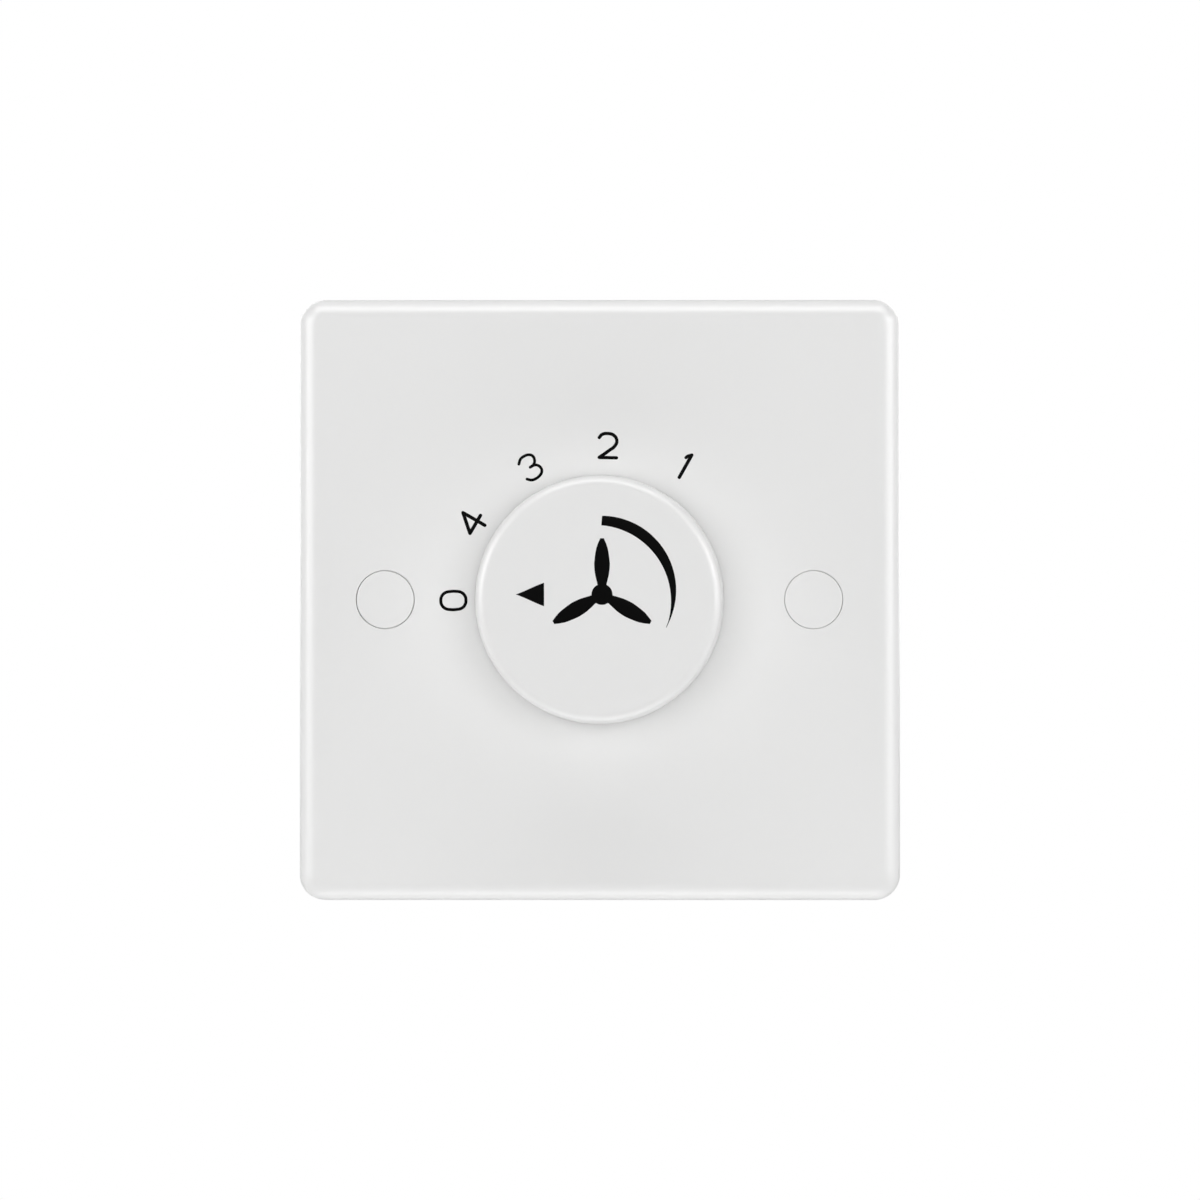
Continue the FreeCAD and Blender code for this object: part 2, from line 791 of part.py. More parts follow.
def spindle_clip():
    """An open retaining ring that sits in the spindle's groove, in front of the bush."""
    body = new_body("spindle_clip")
    bore = d.clip_groove + 2 * d.clip_gap
    add(body, clip_rear, clip_front, circle(ZERO, ZERO, d.clip_diameter), circle(ZERO, ZERO, bore))
    half = d.clip_mouth / 2
    cut(body, clip_rear, clip_front, rectangle(ZERO, d.clip_diameter, -half, half))


def rotor():
    """The index wheel: a notched star over a flange with the stop lug, on a square bore."""
    body = new_body("rotor")
    add(body, rotor_rear, flange_front, circle(ZERO, ZERO, d.flange_diameter))
    add(body, flange_front, rotor_front, circle(ZERO, ZERO, d.star_diameter))
    notch = cut(body, flange_front, rotor_front, circle(ZERO, notch_radius, d.notch_diameter))
    around(body, notch, round(FULL_TURN / d.index_angle.number))
    root_x, root_y = polar(d.flange_diameter / 2 - d.lug_width / 2, d.lug_angle)
    tip_x, tip_y = polar(d.lug_reach, d.lug_angle)
    across_x, across_y = polar(d.lug_width / 2, d.lug_angle + 90)
    lug = polygon(
        (root_x - across_x, root_y - across_y),
        (tip_x - across_x, tip_y - across_y),
        (tip_x + across_x, tip_y + across_y),
        (root_x + across_x, root_y + across_y),
    )
    add(body, rotor_rear, flange_front, lug)
    cut(body, rotor_rear, rotor_front, square(ZERO, ZERO, d.tang_width + 2 * d.spindle_gap))
    pegs = [circle(ZERO, y, d.peg_diameter) for y in (-d.peg_offset, d.peg_offset)]
    add(body, wiper_rear - d.peg_gap, rotor_rear, *pegs)


def wiper():
    """The moving contact: a spring-bronze hub and arm with pressed dimples."""
    body = new_body("wiper")
    hub_hole = d.journal_diameter + 4 * d.peg_gap
    add(body, wiper_rear, rotor_rear, circle(ZERO, ZERO, d.wiper_hub))
    half = d.wiper_arm / 2
    arm = rectangle(-d.contact_radius - d.wiper_overhang, ZERO, -half, half)
    add(body, wiper_rear, rotor_rear, arm)
    dimple_end = wiper_rear - d.dimple_height
    dimples = [circle(x, ZERO, d.dimple_diameter) for x in (-d.contact_radius, -ring_radius, ring_radius)]
    add(body, dimple_end, wiper_rear, *dimples)
    cut(body, wiper_rear, rotor_rear, circle(ZERO, ZERO, hub_hole))
    peg_hole = d.peg_diameter + 2 * d.peg_gap
    cut(body, wiper_rear, rotor_rear, *[circle(ZERO, y, peg_hole) for y in (-d.peg_offset, d.peg_offset)])


# Fixed parts of the rotary switch


def switch_frame():
    """The switch's front half: a square cup with the bush, stop ribs and spring seats."""
    body = new_body("switch_frame")
    half = d.frame_width / 2
    add(body, base_front, lid, rounded_rectangle(-half, half, -half, half, d.frame_corner))
    inner = rounded_rectangle(-cavity_half, cavity_half, -cavity_half, cavity_half, d.frame_corner)
    cut(body, base_front, frame_floor, inner)
    add(body, lid, bush_end, circle(ZERO, ZERO, d.bush_diameter))
    add(body, lid, lid + d.key_height, circle(ZERO, -d.key_offset, d.key_diameter))
    stop_ribs(body)
    spring_seats(body)
    add(body, base_rear, base_front, *[circle(x, y, d.stake_diameter) for x, y in corners])
    cut(body, frame_floor, bush_end, circle(ZERO, ZERO, d.spindle_diameter + 2 * d.spindle_gap))


def stop_ribs(body):
    """Two round posts, tied to the side walls, that end the rotor's travel."""
    add(body, rotor_rear, frame_floor, *[circle(x, y, d.stop_diameter) for x, y in stop_places])
    half = d.stop_diameter / 2
    wall = cavity_half + d.frame_wall / 2
    (right_x, right_y), (left_x, left_y) = stop_places
    ties = [
        rectangle(right_x, wall, right_y - half, right_y + half),
        rectangle(-wall, left_x, left_y - half, left_y + half),
    ]
    add(body, rotor_rear, frame_floor, *ties)


def spring_seats(body):
    """Pairs of ribs at the side walls that hold the ends of the detent spring."""
    wall = cavity_half + d.frame_wall / 2
    edge = cavity_half - d.spring_seat
    above = spring_high + d.spring_gap
    below = spring_low - d.spring_gap
    seats = [
        rectangle(*ends, *heights)
        for ends in ((-wall, -edge), (edge, wall))
        for heights in ((above, cavity_half + d.frame_wall / 2), (below - d.spring_seat, below))
    ]
    add(body, spring_front - d.spring_width, frame_floor, *seats)


def detent_spring():
    """A flat spring with a rounded bump that drops into the notches of the star."""
    body = new_body("detent_spring")
    rear = spring_front - d.spring_width
    bump, hollow = d.spring_bump / 2, d.spring_bump / 2 - d.spring_thickness
    add(body, rear, spring_front, rectangle(-spring_half, spring_half, spring_low, spring_high))
    add(body, rear, spring_front, rectangle(-bump, bump, bump_centre, spring_high))
    add(body, rear, spring_front, circle(ZERO, bump_centre, d.spring_bump))
    cut(body, rear, spring_front, rectangle(-hollow, hollow, bump_centre, spring_high))
    cut(body, rear, spring_front, circle(ZERO, bump_centre, 2 * hollow))


def switch_base():
    """The contact carrier that closes the switch: pin holes, staking holes and feet."""
    body = new_body("switch_base")
    half = d.frame_width / 2
    add(body, base_rear, base_front, rounded_rectangle(-half, half, -half, half, d.frame_corner))
    add(body, board_front, base_rear, *[circle(x, y, d.foot_diameter) for x, y in corners])
    stake_hole = d.stake_diameter + 2 * d.stake_gap
    pin_hole = d.pin_diameter + 2 * d.pin_gap
    holes = [circle(x, y, stake_hole) for x, y in corners]
    holes += [circle(x, y, pin_hole) for x, y in speed_places + ring_pin_places]
    holes.append(circle(ZERO, ZERO, d.journal_diameter + 2 * d.spindle_gap))
    cut(body, base_rear, base_front, *holes)


def speed_contacts():
    """The four studs that the wiper meets, one for each speed, with their solder pins."""
    body = new_body("speed_contacts")
    add(body, base_front, contact_front, *[circle(x, y, d.stud_diameter) for x, y in speed_places])
    add(body, tail_rear, base_front, *[circle(x, y, d.pin_diameter) for x, y in speed_places])


def common_contact():
    """The slip ring that feeds the wiper, with two solder pins."""
    body = new_body("common_contact")
    ring = [circle(ZERO, ZERO, diameter) for diameter in (d.ring_inner, d.ring_outer)]
    add(body, base_front, contact_front, *ring)
    add(body, tail_rear, base_front, *[circle(x, y, d.pin_diameter) for x, y in ring_pin_places])


def bush_nut():
    """The hexagon nut that clamps the switch to the plate, under the knob."""
    body = new_body("bush_nut")
    corner_radius = d.nut_across_flats / 2 / cosine(30)
    flats = polygon(*[polar(corner_radius, 60 * side) for side in range(6)])
    add(body, washer_front, nut_front, flats)
    cut(body, washer_front, nut_front, circle(ZERO, ZERO, d.bush_diameter + 2 * d.thread_gap))
    bevel(body, d.nut_chamfer / 2, outermost_at(nut_front, d.bush_diameter / 2 + d.thread_gap))


def lock_washer():
    """A toothed washer between the nut and the plate."""
    body = new_body("lock_washer")
    radius = d.washer_diameter / 2
    bore = d.bush_diameter + 4 * d.thread_gap
    add(body, face, washer_front, circle(ZERO, ZERO, d.washer_diameter), circle(ZERO, ZERO, bore))
    half = d.washer_notch / 2
    notch = cut(body, face, washer_front, rectangle(radius - d.washer_notch_depth, 2 * radius, -half, half))
    around(body, notch, COUNTS["washer notches"])


# Circuit board and what is soldered to it


def capacitor_leads(x, y, upright):
    """The places of a capacitor's two leads, along Y if it is upright and along X if not."""
    half = d.capacitor_pitch / 2
    if upright:
        return [(x, y - half), (x, y + half)]
    return [(x - half, y), (x + half, y)]


def resistor_leads(x, y, span):
    return [(x, y - span / 2), (x, y + span / 2)]


def circuit_board():
    """The board, with a drilled hole for every lead and pin."""
    body = new_body("circuit_board")
    add(body, board_rear, board_front, rectangle(-board_half, board_half, board_bottom, d.board_top))
    capacitor_places = capacitor_leads(ZERO, large_y, False) + capacitor_leads(small_x, small_y, True)
    resistor_places = []
    for x in (inner_column, outer_column):
        resistor_places += resistor_leads(x, bleed_y, d.bleed_span)
        resistor_places += resistor_leads(x, surge_y, d.surge_span)
    terminal_places = [(x, terminal_y) for x in terminal_xs]
    drilled = [
        (speed_places + ring_pin_places + terminal_places, d.pin_diameter),
        (capacitor_places, d.capacitor_lead),
        (resistor_places, d.resistor_lead),
    ]
    for places, lead in drilled:
        cut(body, board_rear, board_front, *[circle(x, y, lead + 2 * d.lead_gap) for x, y in places])


def capacitor(label, x, y, size_x, size_y, height, upright):
    """A moulded box capacitor that stands on the back of the board on two leads."""
    body = new_body(label)
    box = rectangle(x - size_x / 2, x + size_x / 2, y - size_y / 2, y + size_y / 2)
    rear = board_rear - height
    add(body, rear, board_rear, box)
    round_off(body, d.capacitor_edge, lambda edge: edge.BoundBox.ZMin < board_rear.number - TINY)
    leads = capacitor_leads(x, y, upright)
    add(body, board_rear, tail_front, *[circle(*place, d.capacitor_lead) for place in leads])


def resistors(label, y, diameter, length, span):
    """Two axial resistors side by side, each with its bent leads."""
    body = new_body(label)
    axis = board_rear - diameter / 2 - d.part_gap
    columns = (inner_column, outer_column)
    add_upwards(body, y - length / 2, y + length / 2, *[circle(x, axis, diameter) for x in columns])
    round_off(body, d.resistor_edge, lambda edge: isinstance(edge.Curve, Part.Circle))
    half_span = span / 2
    for x in columns:
        route = polygon(
            (y - half_span, tail_front),
            (y - half_span, axis),
            (y + half_span, axis),
            (y + half_span, tail_front),
            closed=False,
        )
        spine = sketch_on(body, "YZ_Plane", x, route)
        section = sketch_on(body, "XY_Plane", tail_front, circle(x, y - half_span, d.resistor_lead))
        path = (spine, [f"Edge{n}" for n in range(1, len(spine.Shape.Edges) + 1)])
        feature(body, "AdditivePipe", "lead", Profile=section, Spine=path, Transition="Round corner")


# Terminals


def terminal(label, x):
    """A brass pillar with a cross bore for the wire, a tapped hole and a solder pin."""
    body = new_body(label)
    half = d.terminal_width / 2
    low, high = terminal_y - d.terminal_length / 2, terminal_y + d.terminal_length / 2
    add(body, terminal_rear, board_rear, rectangle(x - half, x + half, low, high))
    add(body, board_rear, tail_front, circle(x, terminal_y, d.pin_diameter))
    cut_upwards(body, low, high, circle(x, terminal_axis, d.terminal_bore))
    tapped = d.terminal_screw + 2 * d.thread_gap
    cut(body, terminal_rear, terminal_axis, circle(x, terminal_y, tapped))


def terminal_screws():
    """The clamping screws, backed out so that the wire bores are clear."""
    body = new_body("terminal_screws")
    tip = terminal_axis - d.terminal_bore / 2 - d.terminal_screw_lift
    seat = terminal_rear - d.terminal_screw_lift
    head_end = seat - d.terminal_screw_head_height
    places = [(x, terminal_y) for x in terminal_xs]
    add(body, seat, tip, *[circle(x, y, d.terminal_screw) for x, y in places])
    add(body, head_end, seat, *[circle(x, y, d.terminal_screw_head) for x, y in places])
    half = d.screw_slot / 2
    reach = d.terminal_screw_head / 2
    slots = [rectangle(x - half, x + half, y - reach, y + reach) for x, y in places]
    cut(body, head_end, head_end + d.terminal_screw_head_height / 2, *slots)


def terminal_block():
    """The insulating block round the two terminals: open towards the wires, with wells for the screw heads."""
    body = new_body("terminal_block")
    add(body, block_rear, board_rear, rectangle(-block_half, block_half, board_bottom, block_top))
    half_x = d.terminal_width / 2 + d.terminal_gap
    pocket_floor = terminal_rear - d.terminal_gap
    pocket_top = block_top - d.block_wall
    pockets = [rectangle(x - half_x, x + half_x, board_bottom, pocket_top) for x in terminal_xs]
    cut(body, pocket_floor, board_rear, *pockets)
    head_well = d.terminal_screw_head + 4 * d.terminal_gap
    cut(body, block_rear, pocket_floor, *[circle(x, terminal_y, head_well) for x in terminal_xs])


# Rear housing


def rear_housing():
    """The moulded rear box: recessed over the terminals, vented, with screw ears and board posts."""
    body = new_body("rear_housing")
    outline = rounded_rectangle(-outer_half, outer_half, outer_bottom, outer_top, d.housing_corner)
    add(body, housing_rear, lid, outline)
    recess = rectangle(-recess_half, recess_half, outer_bottom - d.housing_wall, recess_top)
    cut(body, housing_rear, recess_rear, recess)
    round_off(body, d.housing_edge, at_level(housing_rear))
    hollow_housing(body)
    board_posts(body)
    screw_ears(body)
    wire_holes = [circle(x, terminal_axis, d.wire_hole) for x in terminal_xs]
    cut_upwards(body, outer_bottom, inner_bottom, *wire_holes)
    driver_holes = [circle(x, terminal_y, d.driver_hole) for x in terminal_xs]
    cut(body, recess_rear, recess_floor, *driver_holes)
    half_x, half_y = d.vent_length / 2, d.vent_width / 2
    vent = rectangle(-half_x, half_x, d.vent_offset - half_y, d.vent_offset + half_y)
    first_vent = cut(body, housing_rear, housing_floor, vent)
    vents = COUNTS["vents"]
    along(body, first_vent, vents, "Y_Axis", (vents - 1) * d.vent_pitch)


def hollow_housing(body):
    """Hollows the box: shallow over the terminal recess and deep everywhere else."""
    walled_half = recess_half + d.housing_wall
    walled_top = recess_top + d.housing_wall
    deep = polygon(
        (-inner_half, inner_bottom),
        (-walled_half, inner_bottom),
        (-walled_half, walled_top),
        (walled_half, walled_top),
        (walled_half, inner_bottom),
        (inner_half, inner_bottom),
        (inner_half, inner_top),
        (-inner_half, inner_top),
    )
    cut(body, housing_floor, lid, deep)
    cut(body, recess_floor, lid, rectangle(-walled_half, walled_half, inner_bottom, walled_top))


def board_posts(body):
    """Corner posts that rise from the floor to the back of the board."""
    into_wall = d.housing_wall / 4
    columns = [
        (-inner_half - into_wall, -inner_half + d.post_width),
        (inner_half - d.post_width, inner_half + into_wall),
    ]
    rows = [
        (inner_bottom - into_wall, inner_bottom + d.post_width),
        (inner_top - d.post_width, inner_top + into_wall),
    ]
    posts = [rectangle(*column, *row) for column in columns for row in rows]
    add(body, housing_floor - into_wall, board_rear, *posts)


def screw_ears(body):
    """Four ears on the top and bottom walls, drilled for the tapping screws."""
    ear_rear = ear_seat - d.ear_thickness
    add(body, ear_rear, ear_seat, *[circle(x, y, d.ear_diameter) for x, y in ear_places])
    half = d.ear_diameter / 2
    into_wall = d.housing_wall / 2
    low, high = ear_ys
    necks = [
        rectangle(x - half, x + half, *ends)
        for x in (-ear_x, ear_x)
        for ends in ((low, outer_bottom + into_wall), (outer_top - into_wall, high))
    ]
    add(body, ear_rear, ear_seat, *necks)
    cut(body, ear_rear, ear_seat, *[circle(x, y, d.tapping_hole) for x, y in ear_places])


def housing_screws():
    """The four tapping screws that hold the housing to the plate."""
    body = new_body("housing_screws")
    seat = ear_seat - d.ear_thickness
    head_end = seat - d.tapping_head_height
    add(body, seat, seat + d.tapping_length, *[circle(x, y, d.tapping_screw) for x, y in ear_places])
    add(body, head_end, seat, *[circle(x, y, d.tapping_head) for x, y in ear_places])
    half, reach = d.tapping_slot / 2, d.tapping_head / 2
    along_x = [rectangle(x - reach, x + reach, y - half, y + half) for x, y in ear_places]
    along_y = [rectangle(x - half, x + half, y - reach, y + reach) for x, y in ear_places]
    cut(body, head_end, head_end + d.tapping_slot_depth, *along_x)
    cut(body, head_end, head_end + d.tapping_slot_depth, *along_y)


def build():
    """Makes every piece of the switch, front to back."""
    front_plate()
    screw_cap("screw_cap_left", -fixing_x)
    screw_cap("screw_cap_right", fixing_x)
    fixing_screws()
    knob()
    knob_clip()
    spindle()
    spindle_clip()
    rotor()
    wiper()
    switch_frame()
    detent_spring()
    switch_base()
    speed_contacts()
    common_contact()
    bush_nut()
    lock_washer()
    circuit_board()
    large = (d.large_capacitor_length, d.large_capacitor_thickness, d.large_capacitor_height)
    capacitor("large_capacitor", ZERO, large_y, *large, upright=False)
    small = (d.small_capacitor_thickness, d.small_capacitor_length, d.small_capacitor_height)
    capacitor("small_capacitor", small_x, small_y, *small, upright=True)
    resistors("bleed_resistors", bleed_y, d.bleed_diameter, d.bleed_length, d.bleed_span)
    resistors("surge_resistors", surge_y, d.surge_diameter, d.surge_length, d.surge_span)
    terminal("supply_terminal", terminal_xs[0])
    terminal("fan_terminal", terminal_xs[1])
    terminal_screws()
    terminal_block()
    rear_housing()
    housing_screws()


def check_and_export():
    """Stops if anything failed to compute, then writes one STEP file for each piece."""
    doc.recompute()
    for made in doc.Objects:
        if {"Invalid", "Error"} & set(made.State):
            raise RuntimeError(f"{made.Name} failed: {made.State}")
    bodies = [made for made in doc.Objects if made.TypeId == "PartDesign::Body"]
    for body in bodies:
        if body.Shape.isNull() or not body.Shape.isValid():
            raise RuntimeError(f"{body.Label} has no valid shape")
    os.makedirs("parts", exist_ok=True)
    for body in bodies:
        body.Shape.exportStep(f"parts/{body.Label}.step")
        print(body.Label, len(body.Shape.Solids), "solids", round(body.Shape.Volume, 1), "mm3")


build()
check_and_export()
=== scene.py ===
"""Looks of the fan speed control switch: finishes, printed marks, screw threads, light and camera."""

import json
import math

import bpy
from mathutils import Matrix, Vector


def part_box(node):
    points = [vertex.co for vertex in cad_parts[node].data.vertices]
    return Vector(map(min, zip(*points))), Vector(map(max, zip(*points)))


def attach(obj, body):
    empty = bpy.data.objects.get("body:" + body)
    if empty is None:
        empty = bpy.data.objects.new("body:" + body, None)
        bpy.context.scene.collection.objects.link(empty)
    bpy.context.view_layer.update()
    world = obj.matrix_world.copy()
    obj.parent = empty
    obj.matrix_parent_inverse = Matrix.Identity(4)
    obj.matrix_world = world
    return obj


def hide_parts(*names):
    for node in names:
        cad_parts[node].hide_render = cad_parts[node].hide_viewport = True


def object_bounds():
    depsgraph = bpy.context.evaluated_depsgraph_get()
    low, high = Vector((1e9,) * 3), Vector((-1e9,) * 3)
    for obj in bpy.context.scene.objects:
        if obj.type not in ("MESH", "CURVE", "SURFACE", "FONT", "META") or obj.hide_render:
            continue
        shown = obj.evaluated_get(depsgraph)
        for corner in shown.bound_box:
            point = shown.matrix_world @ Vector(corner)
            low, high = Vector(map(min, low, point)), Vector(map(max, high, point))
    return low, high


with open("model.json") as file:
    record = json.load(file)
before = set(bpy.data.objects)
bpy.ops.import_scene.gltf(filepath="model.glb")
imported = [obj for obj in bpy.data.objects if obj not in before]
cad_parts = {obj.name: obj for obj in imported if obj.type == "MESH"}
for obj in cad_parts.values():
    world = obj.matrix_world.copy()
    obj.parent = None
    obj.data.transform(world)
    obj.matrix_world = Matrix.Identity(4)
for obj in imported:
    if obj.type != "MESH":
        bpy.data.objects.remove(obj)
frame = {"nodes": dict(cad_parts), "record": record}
cad_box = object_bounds()

MM = 0.001
NODES = frame["nodes"]
BODIES = frame["record"]["behaviour"]["bodies"]
BODY_OF = {node: body for body, nodes in BODIES.items() for node in nodes}
SLOT_OF = {part["node"]: part["material_slot"] for part in frame["record"]["subparts"]}

# Named lengths are in millimetres and angles in degrees; the stage alone is in metres


# Node trees


def add_node(tree, kind, sockets=None, **settings):
    """A node of that kind. Each socket takes a plain value, or a link where the value is an output."""
    made = tree.nodes.new(kind)
    for name, value in settings.items():
        setattr(made, name, value)
    for name, value in (sockets or {}).items():
        socket = made.inputs[name]
        if isinstance(value, bpy.types.NodeSocket):
            tree.links.new(value, socket)
        else:
            socket.default_value = value
    return made


def new_group(name, inputs, outputs):
    """An empty shader group with those sockets, its tree and its two end nodes."""
    tree = bpy.data.node_groups.new(name, "ShaderNodeTree")
    for label, kind, start in inputs:
        socket = tree.interface.new_socket(label, in_out="INPUT", socket_type=kind)
        socket.default_value = start
    for label, kind in outputs:
        tree.interface.new_socket(label, in_out="OUTPUT", socket_type=kind)
    return tree, tree.nodes.new("NodeGroupInput").outputs, tree.nodes.new("NodeGroupOutput").inputs


# The colour sockets of a mix node share their names with others, so they go by number
MIX_FIRST = 6
MIX_SECOND = 7
MIX_RESULT = 2

# The part of a noise pattern's range that the gloss follows
NOISE_LOW = 0.3
NOISE_HIGH = 0.7


def mix_colours(tree, factor, first, second):
    """The output of a node that mixes two colours."""
    made = tree.nodes.new("ShaderNodeMix")
    made.data_type = "RGBA"
    tree.links.new(factor, made.inputs["Factor"])
    tree.links.new(first, made.inputs[MIX_FIRST])
    tree.links.new(second, made.inputs[MIX_SECOND])
    return made.outputs[MIX_RESULT]


def gloss_between(tree, pattern, brightest, dullest):
    """A roughness that follows a noise pattern from its brightest to its dullest value."""
    spread = add_node(
        tree,
        "ShaderNodeMapRange",
        {
            "Value": pattern,
            "From Min": NOISE_LOW,
            "From Max": NOISE_HIGH,
            "To Min": brightest,
            "To Max": dullest,
        },
    )
    return spread.outputs["Result"]


def moulded_skin():
    """Moulded plastic: faint clouds in the colour, patches of gloss, and the fine peel of a mould."""
    tree, given, result = new_group(
        "moulded skin",
        [
            ("Colour", "NodeSocketColor", (0.8, 0.8, 0.8, 1)),
            ("Cloud", "NodeSocketColor", (0.78, 0.78, 0.78, 1)),
            ("Peel scale", "NodeSocketFloat", 900.0),
            ("Glossiest", "NodeSocketFloat", 0.28),
            ("Dullest", "NodeSocketFloat", 0.36),
        ],
        [("Colour", "NodeSocketColor"), ("Roughness", "NodeSocketFloat"), ("Height", "NodeSocketFloat")],
    )
    place = add_node(tree, "ShaderNodeTexCoord").outputs["Object"]
    clouds = add_node(tree, "ShaderNodeTexNoise", {"Vector": place, "Scale": 48.0, "Detail": 3.0})
    colour = mix_colours(tree, clouds.outputs["Fac"], given["Colour"], given["Cloud"])
    tree.links.new(colour, result["Colour"])
    patches = add_node(tree, "ShaderNodeTexNoise", {"Vector": place, "Scale": 190.0, "Detail": 2.0})
    gloss = gloss_between(tree, patches.outputs["Fac"], given["Glossiest"], given["Dullest"])
    tree.links.new(gloss, result["Roughness"])
    peel = add_node(
        tree,
        "ShaderNodeTexNoise",
        {"Vector": place, "Scale": given["Peel scale"], "Detail": 2.0, "Roughness": 0.6},
    )
    tree.links.new(peel.outputs["Fac"], result["Height"])
    return tree


def drawn_metal():
    """Drawn or turned metal: fine lines across the work's axis, with a touch of tarnish."""
    tree, given, result = new_group(
        "drawn metal",
        [
            ("Colour", "NodeSocketColor", (0.7, 0.7, 0.7, 1)),
            ("Tarnish", "NodeSocketColor", (0.5, 0.5, 0.5, 1)),
            ("Line scale", "NodeSocketFloat", 1500.0),
            ("Brightest", "NodeSocketFloat", 0.2),
            ("Dullest", "NodeSocketFloat", 0.4),
        ],
        [("Colour", "NodeSocketColor"), ("Roughness", "NodeSocketFloat"), ("Height", "NodeSocketFloat")],
    )
    place = add_node(tree, "ShaderNodeTexCoord").outputs["Object"]
    clouds = add_node(tree, "ShaderNodeTexNoise", {"Vector": place, "Scale": 260.0, "Detail": 4.0})
    colour = mix_colours(tree, clouds.outputs["Fac"], given["Colour"], given["Tarnish"])
    tree.links.new(colour, result["Colour"])
    along = add_node(tree, "ShaderNodeMapping", {"Vector": place, "Scale": (0.12, 1.0, 0.12)})
    lines = add_node(
        tree,
        "ShaderNodeTexNoise",
        {"Vector": along.outputs["Vector"], "Scale": given["Line scale"], "Detail": 2.0},
    )
    gloss = gloss_between(tree, lines.outputs["Fac"], given["Brightest"], given["Dullest"])
    tree.links.new(gloss, result["Roughness"])
    tree.links.new(lines.outputs["Fac"], result["Height"])
    return tree


MOULDED = moulded_skin()
DRAWN = drawn_metal()


def finish_of(name, group, sockets, relief, plain):
    """A material with its colour, gloss and relief from a group; relief is a strength and a depth."""
    material = bpy.data.materials.new(name)
    material.use_nodes = True
    tree = material.node_tree
    shader = tree.nodes["Principled BSDF"]
    skin = tree.nodes.new("ShaderNodeGroup")
    skin.node_tree = group
    for socket, value in sockets.items():
        skin.inputs[socket].default_value = value
    tree.links.new(skin.outputs["Colour"], shader.inputs["Base Color"])
    tree.links.new(skin.outputs["Roughness"], shader.inputs["Roughness"])
    strength, depth = relief
    bump = add_node(
        tree,
        "ShaderNodeBump",
        {"Height": skin.outputs["Height"], "Strength": strength, "Distance": depth * MM},
    )
    tree.links.new(bump.outputs["Normal"], shader.inputs["Normal"])
    for socket, value in plain.items():
        shader.inputs[socket].default_value = value
    return material


def moulding(name, colour, cloud, gloss, peel, relief, **plain):
    """A moulded finish: two colours, the range of its gloss, the scale of its peel and the relief."""
    sockets = {
        "Colour": (*colour, 1),
        "Cloud": (*cloud, 1),
        "Peel scale": peel,
        "Glossiest": gloss[0],
        "Dullest": gloss[1],
    }
    return finish_of(name, MOULDED, sockets, relief, plain)


def metal(name, colour, tarnish, gloss, lines, relief):
    """A metal finish: two colours, the range of its gloss, the scale of its lines and the relief."""
    sockets = {
        "Colour": (*colour, 1),
        "Tarnish": (*tarnish, 1),
        "Line scale": lines,
        "Brightest": gloss[0],
        "Dullest": gloss[1],
    }
    return finish_of(name, DRAWN, sockets, relief, {"Metallic": 1.0})


FINISHES = {
    "white_moulding": moulding(
        "white moulding", (0.81, 0.81, 0.806), (0.8, 0.8, 0.796), (0.3, 0.34), 1100.0, (0.05, 0.05)
    ),
    "housing_moulding": moulding(
        "housing moulding",
        (0.021, 0.021, 0.022),
        (0.0235, 0.0235, 0.0245),
        (0.5, 0.56),
        2600.0,
        (0.35, 0.06),
    ),
    "switch_moulding": moulding(
        "switch moulding", (0.012, 0.012, 0.013), (0.018, 0.018, 0.019), (0.4, 0.5), 1500.0, (0.2, 0.05)
    ),
    "terminal_moulding": moulding(
        "terminal moulding", (0.075, 0.078, 0.08), (0.09, 0.093, 0.095), (0.4, 0.5), 1500.0, (0.2, 0.05)
    ),
    "acetal": moulding(
        "acetal", (0.72, 0.7, 0.62), (0.68, 0.66, 0.58), (0.34, 0.44), 900.0, (0.1, 0.05)
    ),
    "capacitor_case": moulding(
        "capacitor case", (0.22, 0.235, 0.25), (0.25, 0.265, 0.28), (0.22, 0.32), 900.0, (0.12, 0.05)
    ),
    "resistor_coat": moulding(
        "resistor coat", (0.42, 0.3, 0.16), (0.36, 0.25, 0.13), (0.3, 0.45), 1400.0, (0.3, 0.05)
    ),
    "board_laminate": moulding(
        "board laminate", (0.015, 0.085, 0.022), (0.02, 0.11, 0.03), (0.25, 0.4), 1800.0, (0.15, 0.04)
    ),
    "plated_steel": metal(
        "zinc plated steel", (0.74, 0.74, 0.72), (0.58, 0.58, 0.57), (0.2, 0.36), 1800.0, (0.08, 0.02)
    ),
    "spring_steel": metal(
        "spring steel", (0.46, 0.47, 0.49), (0.34, 0.35, 0.37), (0.2, 0.32), 1800.0, (0.06, 0.02)
    ),
    "contact_bronze": metal(
        "contact bronze", (0.78, 0.48, 0.27), (0.62, 0.36, 0.2), (0.2, 0.36), 1600.0, (0.06, 0.02)
    ),
    "terminal_brass": metal(
        "terminal brass", (0.83, 0.61, 0.27), (0.66, 0.46, 0.2), (0.18, 0.34), 1600.0, (0.08, 0.02)
    ),
}
PRINT_INK = moulding(
    "print ink",
    (0.003, 0.003, 0.003),
    (0.0045, 0.0045, 0.0045),
    (0.4, 0.55),
    2400.0,
    (0.1, 0.02),
    **{"Specular IOR Level": 0.01},
)


# Pieces

# Corners of a mesh that are closer than this are one corner
WELD = 0.001

# Faces that turn by less than FLAT merge, edges up to SMOOTH look round, edges over SHARP are eased
FLAT = 0.4
SMOOTH = 28
SHARP = 40

# Width of the easing on a node's sharp edges; the other nodes keep theirs
EASES = {
    "front_plate": 0.02,
    "screw_cap_left": 0.015,
    "screw_cap_right": 0.015,
    "knob": 0.12,
    "rear_housing": 0.16,
    "housing_screws": 0.08,
    "terminal_screws": 0.08,
}

